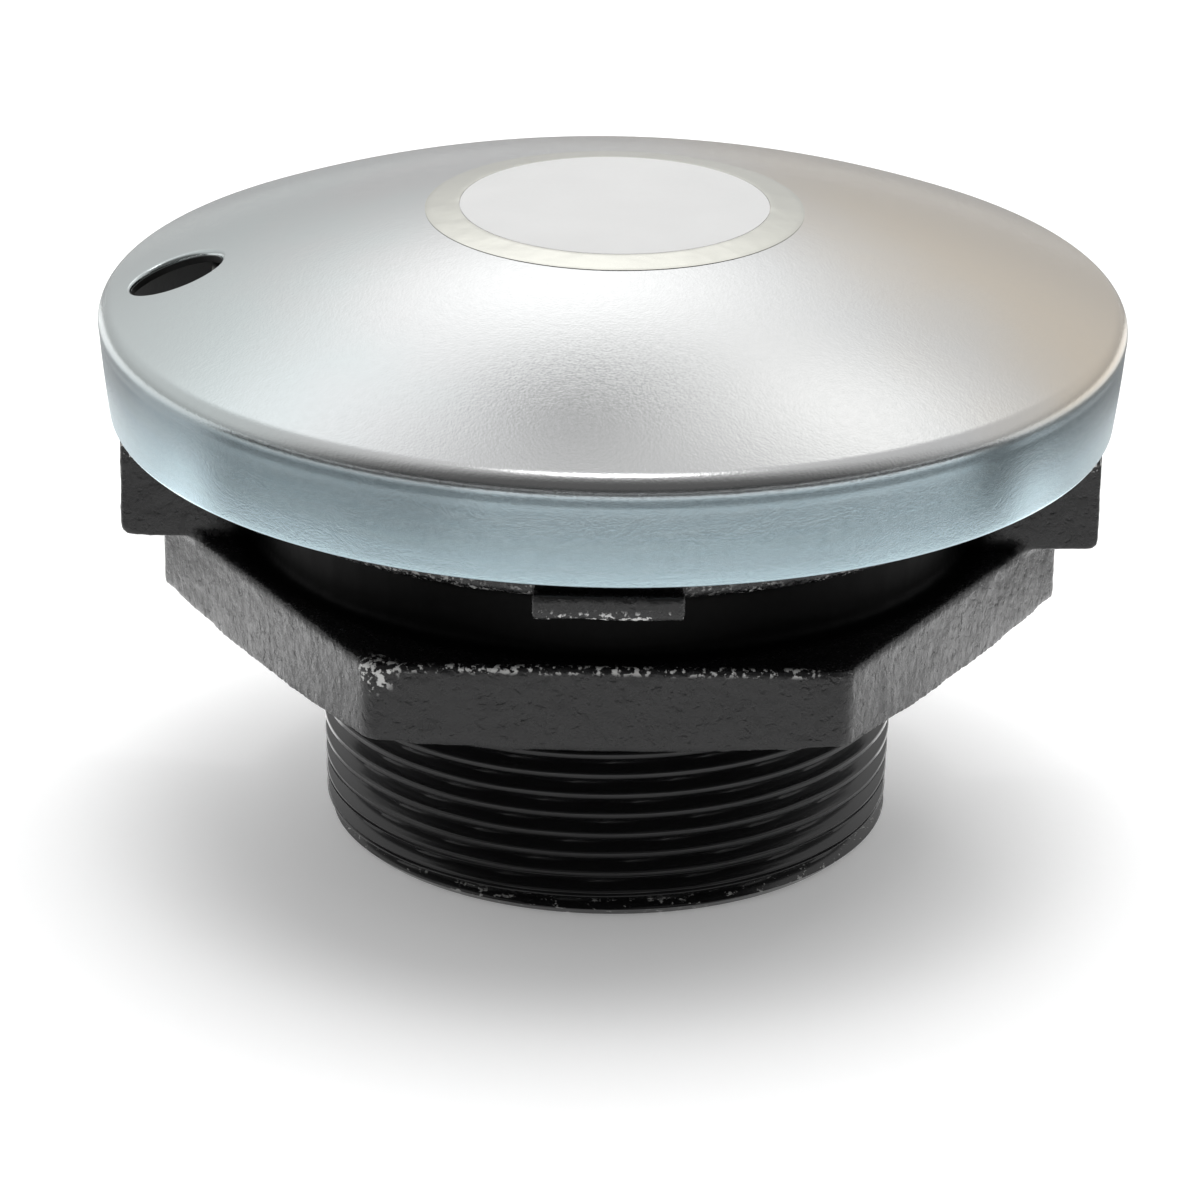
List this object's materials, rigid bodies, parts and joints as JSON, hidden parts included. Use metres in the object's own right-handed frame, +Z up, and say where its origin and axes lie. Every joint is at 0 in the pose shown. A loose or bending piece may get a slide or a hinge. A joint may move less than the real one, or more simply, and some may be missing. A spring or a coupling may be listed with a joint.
{
  "type": "vented fuel cap",
  "caption": "Vented bayonet fuel cap: domed plated steel cap with padlock hole over a black cast iron neck with wrench hex and tapered pipe thread.",
  "frame": {"origin": "centre of the spigot's end face, on the axis of the neck, at the bottom of the part", "axes": "+Z up through the neck and the crown; +X towards the right padlock ear, with a hex corner on it; the padlock hole is near -X; -Y is the front of the picture"},
  "size_m": [0.105, 0.105, 0.0677],
  "materials": {
    "black_painted_iron": "black paint over a sand-cast surface",
    "zinc_plated_steel": "satin zinc plating",
    "white_sticker": "white sticker film, left bare",
    "clear_film": "clear sticker border",
    "pressed_steel": "pressed and plated",
    "spring_steel": "bright spring steel",
    "turned_brass": "turned",
    "nitrile_rubber": "matte black rubber",
    "red_fibre": "vulcanised fibre"
  },
  "bodies": {
    "base": {"base_casting": "black_painted_iron"},
    "carrier": {"gasket_carrier": "pressed_steel", "neck_gasket": "nitrile_rubber", "inner_seal": "nitrile_rubber"},
    "slip": {"slip_washer": "pressed_steel", "wave_spring": "spring_steel"},
    "cap": {"cap_shell": "zinc_plated_steel", "label_disc": "white_sticker", "label_border": "clear_film", "bayonet_plate": "pressed_steel", "valve_body": "turned_brass", "valve_washer": "red_fibre", "valve_nut": "pressed_steel", "valve_cage": "pressed_steel", "cage_screw_1": "pressed_steel", "cage_screw_2": "pressed_steel", "cage_screw_3": "pressed_steel", "vent_screen": "turned_brass", "splash_guard": "pressed_steel"},
    "pressure_valve": {"pressure_disc": "turned_brass", "pressure_seal": "nitrile_rubber", "pressure_spring": "spring_steel"},
    "vacuum_valve": {"vacuum_poppet": "turned_brass", "vacuum_seal": "nitrile_rubber", "vacuum_spring": "spring_steel", "stem_clip": "spring_steel"}
  },
  "joints": [
    {"name": "carrier_lift", "type": "slide", "parent": "base", "child": "carrier", "axis": [0, 0, 1], "range_m": [0, 0.0012], "stiffness_N_per_m": 12000, "springref_m": -0.0025},
    {"name": "cap_lift", "type": "slide", "parent": "base", "child": "slip", "axis": [0, 0, 1], "range_m": [-0.00028, 0.00094], "deforming": ["wave_spring"]},
    {"name": "cap_turn", "type": "hinge", "parent": "slip", "child": "cap", "pos_m": [0, 0, 0], "axis": [0, 0, 1], "range_deg": [-17, 58]},
    {"name": "pressure_relief", "type": "slide", "parent": "cap", "child": "pressure_valve", "axis": [0, 0, 1], "range_m": [0, 0.0025], "stiffness_N_per_m": 1500, "springref_m": -0.005, "deforming": ["pressure_spring"]},
    {"name": "vacuum_inlet", "type": "slide", "parent": "pressure_valve", "child": "vacuum_valve", "axis": [0, 0, -1], "range_m": [0, 0.0018], "stiffness_N_per_m": 150, "springref_m": -0.0025, "deforming": ["vacuum_spring"]}
  ],
  "couplings": [
    {"joint": "cap_lift", "follows": "cap_turn", "m_per_rad": 0.0009167}
  ]
}
